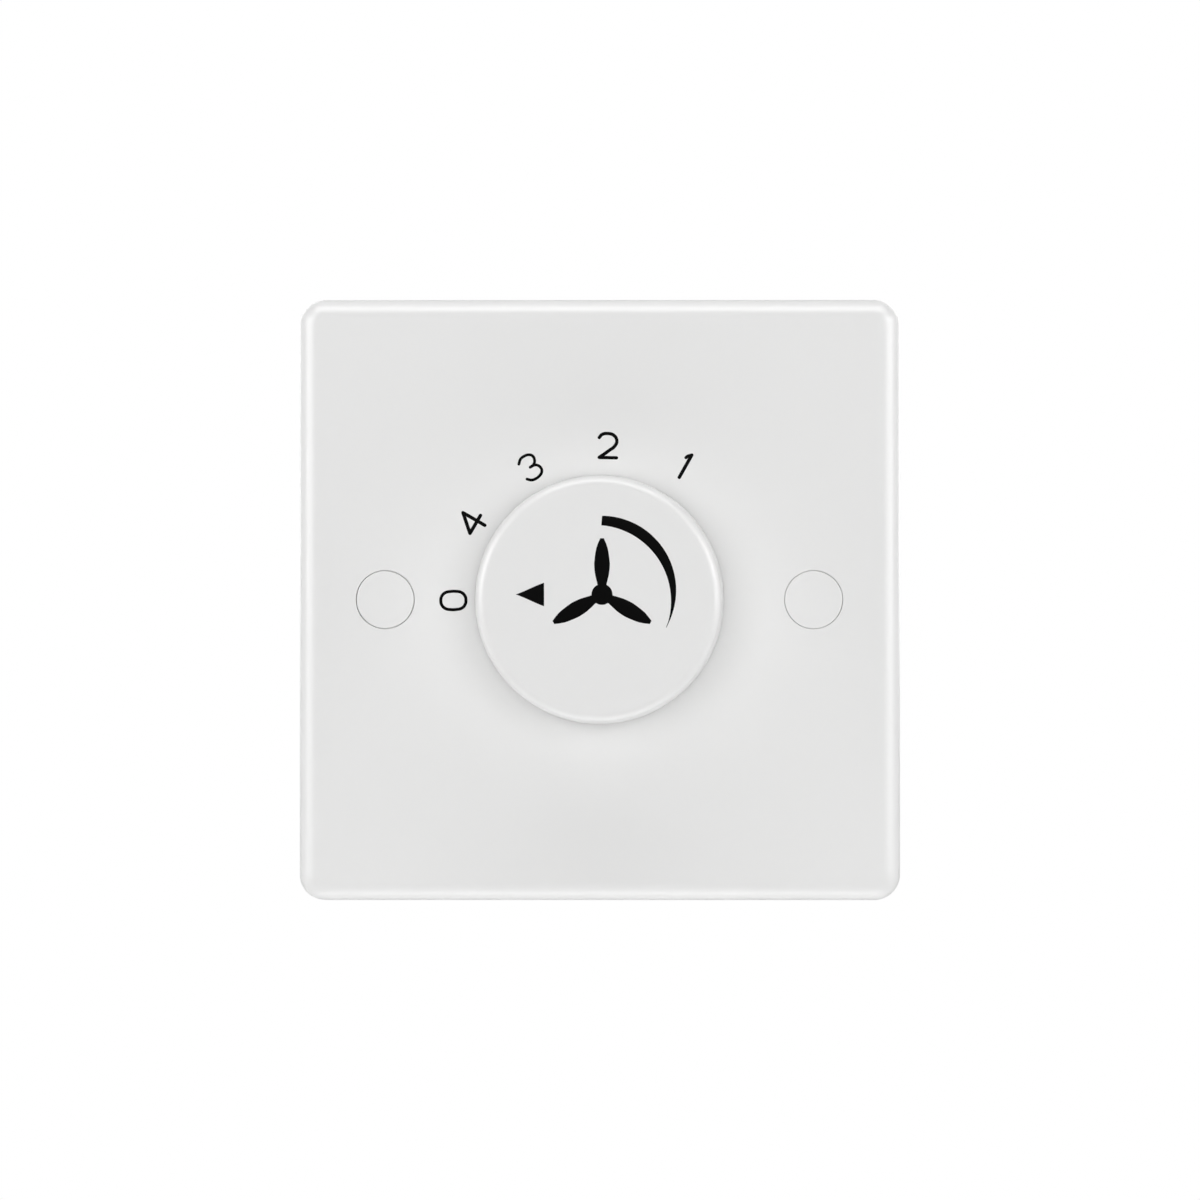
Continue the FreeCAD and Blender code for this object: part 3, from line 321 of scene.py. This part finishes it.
# The caps close up to the rims of their holes, as the thin rings in the photograph show
CAP_RIM = 3.8
CAP_WIDENING = {"screw_cap_left": 0.045, "screw_cap_right": 0.08}


def select_only(piece):
    """Leaves nothing but that piece selected and active."""
    bpy.ops.object.select_all(action="DESELECT")
    piece.select_set(True)
    bpy.context.view_layer.objects.active = piece


def settle(piece):
    """Puts a piece's turn, scale and place into its mesh."""
    select_only(piece)
    bpy.ops.object.transform_apply(location=True, rotation=True, scale=True)


def dress(piece, finish, body):
    """Gives a piece its one finish and the body that it moves with."""
    piece.data.materials.clear()
    piece.data.materials.append(finish)
    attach(piece, body)


def apply_modifiers(piece):
    """Turns what a piece's modifiers show into its mesh."""
    select_only(piece)
    for modifier in list(piece.modifiers):
        bpy.ops.object.modifier_apply(modifier=modifier.name)


def widen(piece, centre, reach, extra):
    """Moves the corners of a round piece outward that lie beyond that reach from its axis."""
    for corner in piece.data.vertices:
        aside = Vector((corner.co.x - centre.x, 0, corner.co.z - centre.z))
        if aside.length > reach:
            corner.co += aside.normalized() * extra


def eased_copy(node, ease):
    """A welded and smoothly shaded copy of a CAD node, with its sharp edges eased by that width."""
    piece = bpy.data.objects.new(f"{node}.eased", NODES[node].data.copy())
    bpy.context.scene.collection.objects.link(piece)
    select_only(piece)
    bpy.ops.object.mode_set(mode="EDIT")
    bpy.ops.mesh.select_all(action="SELECT")
    bpy.ops.mesh.remove_doubles(threshold=WELD * MM)
    bpy.ops.mesh.dissolve_limited(angle_limit=math.radians(FLAT))
    bpy.ops.object.mode_set(mode="OBJECT")
    bpy.ops.object.shade_smooth_by_angle(angle=math.radians(SMOOTH))
    if node in CAP_WIDENING:
        low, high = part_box(node)
        widen(piece, (low + high) / 2, CAP_RIM * MM, CAP_WIDENING[node] * MM)
    if ease:
        bevel = piece.modifiers.new("ease", "BEVEL")
        bevel.width = ease * MM
        bevel.segments = 2
        bevel.limit_method = "ANGLE"
        bevel.angle_limit = math.radians(SHARP)
        bevel.harden_normals = False
        bevel.miter_outer = "MITER_ARC"
    normals = piece.modifiers.new("even shading", "WEIGHTED_NORMAL")
    normals.keep_sharp = True
    apply_modifiers(piece)
    dress(piece, FINISHES[SLOT_OF[node]], BODY_OF[node])
    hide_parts(node)


# Printed marks, in the plane of the print: each stroke is a row of points (x, y, width)

# The prints sit a little off the knob's axis, as in the photograph: right and up
DIAL_CENTRE = (0.68, 0.405)
FAN_CENTRE = (0.49, 0.655)
DIGIT_RING = 21.25
INK_FILM = 0.03
PEN_ROUNDNESS = 6
PEN_STEPS = 8
PEN_SMOOTH = 40

# How a round end runs out: the reach past the stroke and the width there, as shares of the stroke's width
ROUND_END = ((0.5, 0.02), (0.43, 0.5), (0.25, 0.86))


def even(width, *points):
    """A stroke of one width through those points."""
    return [(x, y, width) for x, y in points]


def rounded(stroke):
    """The same stroke with a half-round end added at each end."""
    caps = []
    for (x, y, width), (next_x, next_y, _) in (stroke[:2], stroke[:-3:-1]):
        outward = Vector((x - next_x, y - next_y)).normalized() * width
        tip = []
        for reach, share in ROUND_END:
            tip.append((x + outward.x * reach, y + outward.y * reach, width * share))
        caps.append(tip)
    return [*caps[0], *stroke, *reversed(caps[1])]


def printed_mark(name, strokes, turn, centre, level, body, closed=False):
    """Ink strokes drawn as a flattened pen line, turned in the plane of the print and laid on a face."""
    line = bpy.data.curves.new(name, "CURVE")
    line.dimensions = "3D"
    line.bevel_depth = MM / 2
    line.bevel_resolution = PEN_ROUNDNESS
    line.resolution_u = PEN_STEPS
    line.use_fill_caps = True
    for stroke in strokes:
        spline = line.splines.new("BEZIER")
        spline.bezier_points.add(len(stroke) - 1)
        spline.use_cyclic_u = closed
        for knot, (x, y, width) in zip(spline.bezier_points, stroke):
            knot.co = (x * MM, y * MM, 0)
            knot.radius = width
            knot.handle_left_type = "AUTO"
            knot.handle_right_type = "AUTO"
    mark = bpy.data.objects.new(name, line)
    bpy.context.scene.collection.objects.link(mark)
    select_only(mark)
    bpy.ops.object.convert(target="MESH")
    bpy.ops.object.shade_smooth_by_angle(angle=math.radians(PEN_SMOOTH))
    thickest = max(width for stroke in strokes for _, _, width in stroke)
    flatten = Matrix.Diagonal((1, 1, 2 * INK_FILM / thickest, 1))
    stand_up = Matrix.Rotation(math.radians(90), 4, "X")
    place = Matrix.Translation((centre[0] * MM, level, centre[1] * MM))
    mark.matrix_world = place @ stand_up @ Matrix.Rotation(math.radians(turn), 4, "Z") @ flatten
    settle(mark)
    dress(mark, PRINT_INK, body)


# Each digit's place round the dial, and its strokes
DIGITS = {
    "digit_0": (
        181.4,
        [
            even(
                0.44,
                *((0.0, 1.77), (0.68, 1.6), (1.13, 1.1), (1.27, 0.42)),
                *((1.27, -0.42), (1.13, -1.1), (0.68, -1.6), (0.0, -1.77)),
                *((-0.68, -1.6), (-1.13, -1.1), (-1.27, -0.42)),
                *((-1.27, 0.42), (-1.13, 1.1), (-0.68, 1.6)),
            )
        ],
    ),
    "digit_4": (
        150.0,
        [
            rounded(even(0.5, (0.31, 1.9), (0.31, -1.66))),
            rounded(even(0.5, (0.31, 1.9), (-1.72, -0.41))),
            rounded(even(0.5, (-1.72, -0.41), (1.22, -0.43))),
        ],
    ),
    "digit_3": (
        120.0,
        [
            rounded(
                even(
                    0.41,
                    *((-1.08, 0.93), (-0.49, 1.44), (0.14, 1.53), (0.79, 1.38), (1.15, 1.01), (1.17, 0.48)),
                    *((0.83, -0.06), (0.45, -0.22), (0.08, -0.24)),
                )
            ),
            rounded(
                even(
                    0.41,
                    *((0.08, -0.24), (0.63, -0.25), (1.06, -0.45), (1.34, -1.0), (1.2, -1.58)),
                    *((0.73, -1.9), (-0.01, -2.03), (-0.68, -1.88), (-1.13, -1.46)),
                )
            ),
        ],
    ),
    "digit_2": (
        89.0,
        [
            rounded(
                even(
                    0.48,
                    *((-1.1, 1.15), (-0.72, 1.58), (0.07, 1.74), (0.98, 1.48), (1.38, 0.78), (1.16, 0.06)),
                    *((0.3, -0.66), (-1.06, -1.64)),
                )
            ),
            rounded(even(0.48, (-1.06, -1.65), (1.38, -1.66))),
        ],
    ),
    "digit_1": (
        58.5,
        [
            rounded(even(0.5, (0.22, -1.4), (0.08, 2.2))),
            rounded(even(0.46, (-0.44, 1.45), (-0.3, 1.8), (0.05, 2.18))),
        ],
    ),
}

# The pointer from its tip to its foot, the ring that fills the fan's hub, and a blade from the hub out
POINTER = [(-11.5, 0.645, 0.02), (-7.58, 0.645, 3.3)]
HUB = even(1.48, (0.73, 0), (0, 0.73), (-0.73, 0), (0, -0.73))
BLADE = [
    *((1.0, 0, 1.15), (1.52, 0, 1.32), (2.22, 0, 1.68), (2.92, 0, 1.98), (3.6, 0, 2.13)),
    *((4.3, 0, 2.2), (5.0, 0, 2.06), (5.7, 0, 1.88), (6.4, 0, 1.62), (7.08, 0, 1.15), (7.82, 0, 0.52)),
]
BLADE_ANGLES = (90, 210, 330)

# The arc is the sickle between two circles, each a centre and a radius
ARC_OUTER = (Vector((0.447, 1.237)), 10.37)
ARC_INNER = (Vector((-0.503, -0.292)), 10.6)
ARC_START = 87.4
ARC_SWEEP = 112.4
ARC_STEPS = 24
ARC_POINT = 0.08

# The faces that carry the prints, in metres
PLATE_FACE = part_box("screw_cap_left")[0].y
KNOB_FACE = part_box("knob")[0].y


def print_dial():
    """The speeds round the knob, each digit upright to its own radius."""
    for name, (angle, strokes) in DIGITS.items():
        turn = math.radians(angle)
        across = DIAL_CENTRE[0] + math.cos(turn) * DIGIT_RING
        up = DIAL_CENTRE[1] + math.sin(turn) * DIGIT_RING
        printed_mark(name, strokes, angle - 90, (across, up), PLATE_FACE, "base", closed=name == "digit_0")


def print_knob():
    """The pointer, the fan sign and the tapering arc on the knob's face."""
    printed_mark("pointer", [POINTER], 0, (0, 0), KNOB_FACE, "control")
    printed_mark("fan_hub", [HUB], 0, FAN_CENTRE, KNOB_FACE, "control", closed=True)
    for number, angle in enumerate(BLADE_ANGLES, 1):
        printed_mark(f"fan_blade_{number}", [BLADE], angle, FAN_CENTRE, KNOB_FACE, "control")
    printed_mark("speed_arc", [arc_stroke()], 0, (0, 0), KNOB_FACE, "control")


def arc_stroke():
    """The tapering arc, from twelve o'clock round to its point."""
    middle = (ARC_OUTER[0] + ARC_INNER[0]) / 2
    stroke = []
    for step in range(ARC_STEPS + 1):
        angle = math.radians(ARC_START - ARC_SWEEP * step / ARC_STEPS)
        ray = Vector((math.cos(angle), math.sin(angle)))
        outer = reach_along(ray, middle, *ARC_OUTER)
        inner = reach_along(ray, middle, *ARC_INNER)
        point = middle + ray * (outer + inner) / 2
        stroke.append((point.x, point.y, max(outer - inner, ARC_POINT)))
    return stroke


def reach_along(ray, start, centre, radius):
    """How far a ray runs from its start to a circle around it."""
    aside = centre - start
    middle = ray.dot(aside)
    return middle + math.sqrt(radius**2 - aside.length_squared + middle**2)


# Fixing screws, made along their own axis with the head up; a level is where a length has its middle

FIXING_X = 30.15
HEAD_RADIUS = 3.3
HEAD_LENGTH = 2.2
HEAD_LEVEL = 4.3
HEAD_CROWN = 0.9
SLOT_SIZE = (10.0, 1.0, 2.2)
SHANK_RADIUS = 1.55
SHANK_LENGTH = 3.6
SHANK_LEVEL = 1.4
CORE_RADIUS = 1.42
CORE_LENGTH = 21.5
CORE_LEVEL = -11.05
POINT_EASE = 0.5
SCREW_SMOOTH = 35
RIM_SLACK = 0.01
THREAD_ROOT = 1.4
THREAD_CREST = 1.75
THREAD_PITCH = 0.6
THREAD_START = -21.5
THREAD_TURNS = 35
THREAD_STEPS = 20

# Where the flat crest of a thread starts and ends, as shares of the pitch
CREST_FROM = 0.44
CREST_TO = 0.56


def fixing_screw(name, x):
    """A slotted pan-head screw: turned head with a sawn slot, plain shank and a cut thread."""
    head = rod(HEAD_RADIUS, HEAD_LENGTH, HEAD_LEVEL, vertices=48)
    crown = head.modifiers.new("crown", "BEVEL")
    crown.width = HEAD_CROWN * MM
    crown.segments = 6
    crown.limit_method = "WEIGHT"
    head_top = HEAD_LEVEL + HEAD_LENGTH / 2
    mark_rim(head, head_top * MM)
    blade = primitive(bpy.ops.mesh.primitive_cube_add, size=1.0, location=(0, 0, head_top * MM))
    blade.scale = Vector(SLOT_SIZE) * MM
    settle(blade)
    slot = head.modifiers.new("slot", "BOOLEAN")
    slot.operation = "DIFFERENCE"
    slot.solver = "EXACT"
    slot.object = blade
    apply_modifiers(head)
    bpy.data.objects.remove(blade)
    shank = rod(SHANK_RADIUS, SHANK_LENGTH, SHANK_LEVEL, vertices=32)
    core = rod(CORE_RADIUS, CORE_LENGTH, CORE_LEVEL, vertices=32)
    mark_rim(core, (CORE_LEVEL - CORE_LENGTH / 2) * MM)
    point = core.modifiers.new("point", "BEVEL")
    point.width = POINT_EASE * MM
    point.limit_method = "WEIGHT"
    apply_modifiers(core)
    thread = screw_thread()
    bpy.ops.object.select_all(action="DESELECT")
    for part in (shank, core, thread, head):
        part.select_set(True)
    bpy.context.view_layer.objects.active = head
    bpy.ops.object.join()
    head.name = name
    bpy.ops.object.shade_smooth_by_angle(angle=math.radians(SCREW_SMOOTH))
    head.matrix_world = Matrix.Translation((x, 0, 0)) @ Matrix.Rotation(math.radians(90), 4, "X")
    settle(head)
    dress(head, FINISHES["plated_steel"], "base")
    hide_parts("fixing_screws")


def primitive(add, **sizes):
    """A new primitive with nothing else selected."""
    bpy.ops.object.select_all(action="DESELECT")
    add(**sizes)
    piece = bpy.context.object
    settle(piece)
    return piece


def rod(radius, length, level, vertices):
    """A cylinder on the screw's axis, with its middle at that level."""
    return primitive(
        bpy.ops.mesh.primitive_cylinder_add,
        vertices=vertices,
        radius=radius * MM,
        depth=length * MM,
        location=(0, 0, level * MM),
    )


def mark_rim(piece, level):
    """Weights the edges that lie at that height for the bevel."""
    weights = piece.data.attributes.new("bevel_weight_edge", "FLOAT", "EDGE")
    for edge in piece.data.edges:
        heights = [piece.data.vertices[corner].co.z for corner in edge.vertices]
        on_rim = all(abs(height - level) < RIM_SLACK * MM for height in heights)
        weights.data[edge.index].value = float(on_rim)


def screw_thread():
    """A helical ridge, made by screwing one tooth of the thread up the axis."""
    tooth = primitive(bpy.ops.mesh.primitive_circle_add, vertices=4, radius=MM, fill_type="NOTHING")
    corners = ((THREAD_ROOT, 0.0), (THREAD_CREST, CREST_FROM), (THREAD_CREST, CREST_TO), (THREAD_ROOT, 1.0))
    for corner, (radius, share) in zip(tooth.data.vertices, corners):
        corner.co = (radius * MM, 0, (THREAD_START + share * THREAD_PITCH) * MM)
    bpy.ops.object.mode_set(mode="EDIT")
    bpy.ops.mesh.select_all(action="DESELECT")
    bpy.ops.object.mode_set(mode="OBJECT")
    for edge in tooth.data.edges:
        edge.select = set(edge.vertices) == {0, 3}
    bpy.ops.object.mode_set(mode="EDIT")
    bpy.ops.mesh.select_mode(type="EDGE")
    bpy.ops.mesh.delete(type="EDGE")
    bpy.ops.object.mode_set(mode="OBJECT")
    helix = tooth.modifiers.new("helix", "SCREW")
    helix.screw_offset = THREAD_PITCH * MM
    helix.iterations = THREAD_TURNS
    helix.steps = THREAD_STEPS
    helix.render_steps = THREAD_STEPS
    helix.use_merge_vertices = True
    helix.merge_threshold = WELD * MM
    apply_modifiers(tooth)
    bpy.ops.object.mode_set(mode="EDIT")
    bpy.ops.mesh.select_all(action="SELECT")
    bpy.ops.mesh.remove_doubles(threshold=WELD * MM)
    bpy.ops.mesh.normals_make_consistent(inside=False)
    bpy.ops.object.mode_set(mode="OBJECT")
    return tooth


for node in NODES:
    if node != "fixing_screws":
        eased_copy(node, EASES.get(node, 0.0))
fixing_screw("fixing_screw_left", -FIXING_X * MM)
fixing_screw("fixing_screw_right", FIXING_X * MM)
print_dial()
print_knob()


# Stage, in metres, with the lens and its sensor in millimetres

FLOOR_LEVEL = -0.3
FLOOR_RADIUS = 0.5
FLOOR_GLOW = 0.5
SKY_LIGHT = 0.08
SKY_MIRRORED = 0.6

# The camera stands a touch right of the plate's axis and below it, and its frame is two plates wide
CAMERA_AZIMUTH = 0.5
CAMERA_ELEVATION = -0.3
FRAME_IN_PLATES = 2
FOCAL_LENGTH = 300.0
SENSOR_WIDTH = 36.0
NEAREST = 0.05
FARTHEST = 50.0

# A lamp is a name, azimuth, elevation, distance, size and brightness, where 1 is as bright as paper

# Lamps that light the switch and aren't mirrored in it
WASHES = (
    ("lens_box", 0, 0, 1.2, (0.06, 0.06), 285.0),
    ("left_key", -15, 4, 1.0, (0.3, 0.3), 5.0),
    ("right_key", 15, 4, 1.0, (0.3, 0.3), 5.0),
    ("top_fill", 0, 60, 0.26, (0.3, 0.12), 1.05),
    ("low_fill", 0, -45, 0.26, (0.3, 0.12), 0.4),
)

# Boxes round and behind the switch that both light it and are mirrored in it
BOXES = (
    ("left_box", -91, 0, 0.6, (0.7, 0.7), 1.2),
    ("right_box", 91, 0, 0.6, (0.7, 0.7), 1.2),
    ("top_box", 0, 91, 0.6, (0.7, 0.7), 1.1),
    ("low_box", 0, -91, 0.28, (0.33, 0.33), 0.5),
    ("rear_left_box", -150, 20, 0.8, (0.6, 0.6), 1.6),
    ("rear_right_box", 150, 20, 0.8, (0.6, 0.6), 1.6),
)

# Cards that are only mirrored, in the rounded edges of the plate and the knob
CARDS = (
    ("left_card", -55, 13, 0.8, (0.66, 0.45), 4.8),
    ("right_card", 55, 13, 0.8, (0.66, 0.45), 4.8),
    ("left_shoulder_card", -50, 48, 0.8, (0.4, 0.4), 2.2),
    ("right_shoulder_card", 50, 48, 0.8, (0.4, 0.4), 2.2),
    ("top_card", 0, 62, 0.8, (0.8, 0.45), 3.9),
    ("low_card", 0, -76, 0.28, (0.25, 0.14), 1.6),
)


def studio_floor():
    """A plain pale floor, well below the switch, with a glow that only the camera sees."""
    bpy.ops.object.select_all(action="DESELECT")
    bpy.ops.mesh.primitive_circle_add(
        vertices=96, radius=FLOOR_RADIUS, fill_type="NGON", location=(0, 0, FLOOR_LEVEL)
    )
    floor = bpy.context.object
    floor.name = "studio_floor"
    material = bpy.data.materials.new("studio floor")
    material.use_nodes = True
    tree = material.node_tree
    tree.nodes.clear()
    path = add_node(tree, "ShaderNodeLightPath")
    paper = add_node(tree, "ShaderNodeBsdfDiffuse", {"Color": (0.8, 0.8, 0.8, 1)})
    level = add_node(
        tree, "ShaderNodeMath", {0: path.outputs["Is Camera Ray"], 1: FLOOR_GLOW}, operation="MULTIPLY"
    )
    glow = add_node(tree, "ShaderNodeEmission", {"Color": (1, 1, 1, 1), "Strength": level.outputs[0]})
    both = add_node(tree, "ShaderNodeAddShader")
    tree.links.new(paper.outputs["BSDF"], both.inputs[0])
    tree.links.new(glow.outputs["Emission"], both.inputs[1])
    out = add_node(tree, "ShaderNodeOutputMaterial")
    tree.links.new(both.outputs["Shader"], out.inputs["Surface"])
    floor.data.materials.append(material)


def studio_sky():
    """White behind the switch, near white in its reflections, and an even grey light from all round."""
    world = bpy.data.worlds.new("studio sky")
    bpy.context.scene.world = world
    world.use_nodes = True
    tree = world.node_tree
    sky = tree.nodes["Background"]
    sky.inputs["Color"].default_value = (1, 1, 1, 1)
    path = add_node(tree, "ShaderNodeLightPath")
    glow = add_node(
        tree,
        "ShaderNodeMapRange",
        {"Value": path.outputs["Is Glossy Ray"], "To Min": SKY_LIGHT, "To Max": SKY_MIRRORED},
    )
    seen = add_node(
        tree,
        "ShaderNodeMath",
        {0: glow.outputs["Result"], 1: path.outputs["Is Camera Ray"]},
        operation="MAXIMUM",
    )
    through = add_node(
        tree,
        "ShaderNodeMath",
        {0: seen.outputs[0], 1: path.outputs["Is Transmission Ray"]},
        operation="MAXIMUM",
    )
    tree.links.new(through.outputs[0], sky.inputs["Strength"])


def softbox(name, azimuth, elevation, distance, size, brightness, gloss=True, wash=True):
    """A soft lamp that faces the switch from that side; without wash it lights nothing but reflections."""
    lamp = bpy.data.lights.new(name, "AREA")
    lamp.shape = "RECTANGLE"
    lamp.size, lamp.size_y = size
    lamp.energy = brightness * math.pi * size[0] * size[1]
    box = bpy.data.objects.new(name, lamp)
    bpy.context.scene.collection.objects.link(box)
    back = direction(azimuth, elevation)
    box.location = back * distance
    box.rotation_euler = back.to_track_quat("Z", "Y").to_euler()
    box.visible_camera = False
    box.visible_glossy = gloss
    box.visible_diffuse = wash
    if not wash:
        lamp.cycles.max_bounces = 0


def direction(azimuth, elevation):
    """The unit vector from the switch towards that side; azimuth 0 is straight in front."""
    a, e = math.radians(azimuth), math.radians(elevation)
    return Vector((math.sin(a) * math.cos(e), -math.cos(a) * math.cos(e), math.sin(e)))


def photo_camera():
    """A long lens in front of the plate, where the photograph was taken from."""
    lens = bpy.data.cameras.new("photo_camera")
    lens.lens = FOCAL_LENGTH
    lens.sensor_width = SENSOR_WIDTH
    lens.clip_start = NEAREST
    lens.clip_end = FARTHEST
    plate_width = cad_box[1].x - cad_box[0].x
    distance = FRAME_IN_PLATES * plate_width * FOCAL_LENGTH / SENSOR_WIDTH
    camera = bpy.data.objects.new("photo_camera", lens)
    bpy.context.scene.collection.objects.link(camera)
    back = direction(CAMERA_AZIMUTH, CAMERA_ELEVATION)
    camera.location = back * distance
    camera.rotation_euler = back.to_track_quat("Z", "Y").to_euler()
    bpy.context.scene.camera = camera


studio_floor()
studio_sky()
for lamp in WASHES:
    softbox(*lamp, gloss=False)
for lamp in BOXES:
    softbox(*lamp)
for lamp in CARDS:
    softbox(*lamp, wash=False)
photo_camera()
bpy.context.scene.view_settings.view_transform = "Standard"
